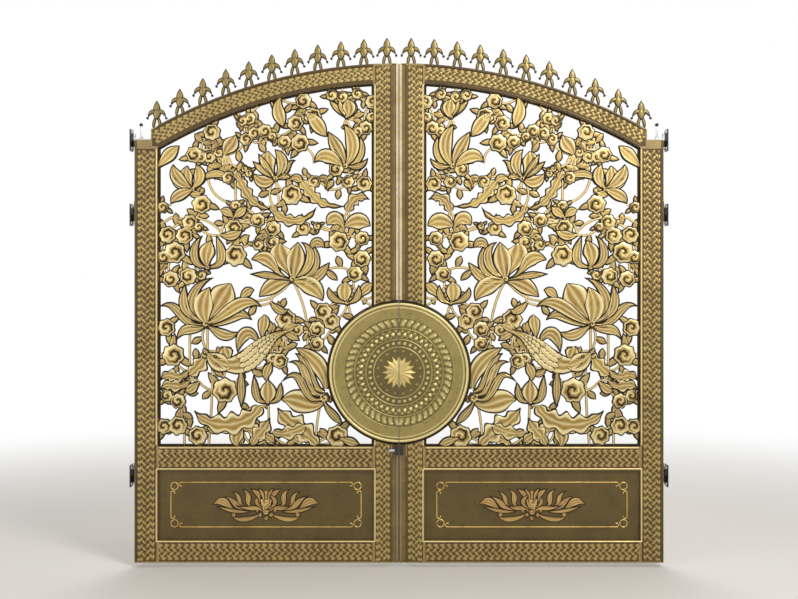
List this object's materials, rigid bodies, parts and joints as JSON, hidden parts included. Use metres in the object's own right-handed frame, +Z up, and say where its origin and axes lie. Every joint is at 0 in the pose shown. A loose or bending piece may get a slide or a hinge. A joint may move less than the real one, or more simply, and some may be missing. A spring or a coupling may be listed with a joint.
{
  "type": "double-leaf ornamental gate",
  "caption": "Arched double-leaf cast aluminium gate with openwork lotus panels, solid kick panels, a split drum boss on the meeting line, crowning finials, wall hinges and bolts",
  "frame": {"origin": "middle of the meeting line at the underside of the leaves, halfway between the drum's front and the wall plates' back", "axes": "X across the gate with the left leaf at -X as seen from the front, Y from the front to the yard side, Z up"},
  "size_m": [3.674, 0.15, 3.5775],
  "materials": {
    "frame_cast": "bronze paint brushed with gold, satin",
    "gold_cast": "gold paint with dark hollows, satin",
    "pale_strip": "pale gold paint, satin",
    "dark_steel": "dark paint, satin",
    "zinc_steel": "galvanised"
  },
  "bodies": {
    "wall_fixings": {"left_top_wall_plate": "dark_steel", "left_upper_wall_plate": "dark_steel", "left_lower_wall_plate": "dark_steel", "right_top_wall_plate": "dark_steel", "right_upper_wall_plate": "dark_steel", "right_lower_wall_plate": "dark_steel"},
    "left_leaf": {"left_hinge_stile": "frame_cast", "left_meeting_stile": "frame_cast", "left_top_rail": "frame_cast", "left_mid_rail": "frame_cast", "left_bottom_rail": "frame_cast", "left_kick_panel": "frame_cast", "left_meeting_strip": "pale_strip", "left_lotus_panel": "gold_cast", "left_half_drum": "gold_cast", "left_top_strap": "zinc_steel", "left_upper_flap": "dark_steel", "left_lower_flap": "dark_steel", "left_bolt_plate": "dark_steel", "left_finial_1": "gold_cast", "left_finial_2": "gold_cast", "left_finial_3": "gold_cast", "left_finial_4": "gold_cast", "left_finial_5": "gold_cast", "left_finial_6": "gold_cast", "left_finial_7": "gold_cast", "left_finial_8": "gold_cast", "left_finial_9": "gold_cast", "left_finial_10": "gold_cast", "left_finial_11": "gold_cast", "latch_case": "dark_steel"},
    "right_leaf": {"right_hinge_stile": "frame_cast", "right_meeting_stile": "frame_cast", "right_top_rail": "frame_cast", "right_mid_rail": "frame_cast", "right_bottom_rail": "frame_cast", "right_kick_panel": "frame_cast", "right_meeting_strip": "pale_strip", "right_lotus_panel": "gold_cast", "right_half_drum": "gold_cast", "right_top_strap": "zinc_steel", "right_upper_flap": "dark_steel", "right_lower_flap": "dark_steel", "right_bolt_plate": "dark_steel", "right_finial_1": "gold_cast", "right_finial_2": "gold_cast", "right_finial_3": "gold_cast", "right_finial_4": "gold_cast", "right_finial_5": "gold_cast", "right_finial_6": "gold_cast", "right_finial_7": "gold_cast", "right_finial_8": "gold_cast", "right_finial_9": "gold_cast", "right_finial_10": "gold_cast", "right_finial_11": "gold_cast", "latch_keeper": "dark_steel"},
    "left_drop_bolt": {"left_drop_bolt": "zinc_steel"},
    "right_drop_bolt": {"right_drop_bolt": "zinc_steel"},
    "latch_bolt": {"latch_bolt": "zinc_steel"}
  },
  "joints": [
    {"name": "left_swing", "type": "hinge", "parent": "wall_fixings", "child": "left_leaf", "pos_m": [-1.814, 0.03, 0.586], "axis": [0, 0, 1], "range_deg": [0, 90]},
    {"name": "right_swing", "type": "hinge", "parent": "wall_fixings", "child": "right_leaf", "pos_m": [1.814, 0.03, 0.586], "axis": [0, 0, -1], "range_deg": [0, 90]},
    {"name": "left_bolt_drop", "type": "slide", "parent": "left_leaf", "child": "left_drop_bolt", "axis": [0, 0, -1], "range_m": [0, 0.05]},
    {"name": "right_bolt_drop", "type": "slide", "parent": "right_leaf", "child": "right_drop_bolt", "axis": [0, 0, -1], "range_m": [0, 0.05]},
    {"name": "latch_slide", "type": "slide", "parent": "left_leaf", "child": "latch_bolt", "axis": [1, 0, 0], "range_m": [0, 0.02]}
  ]
}
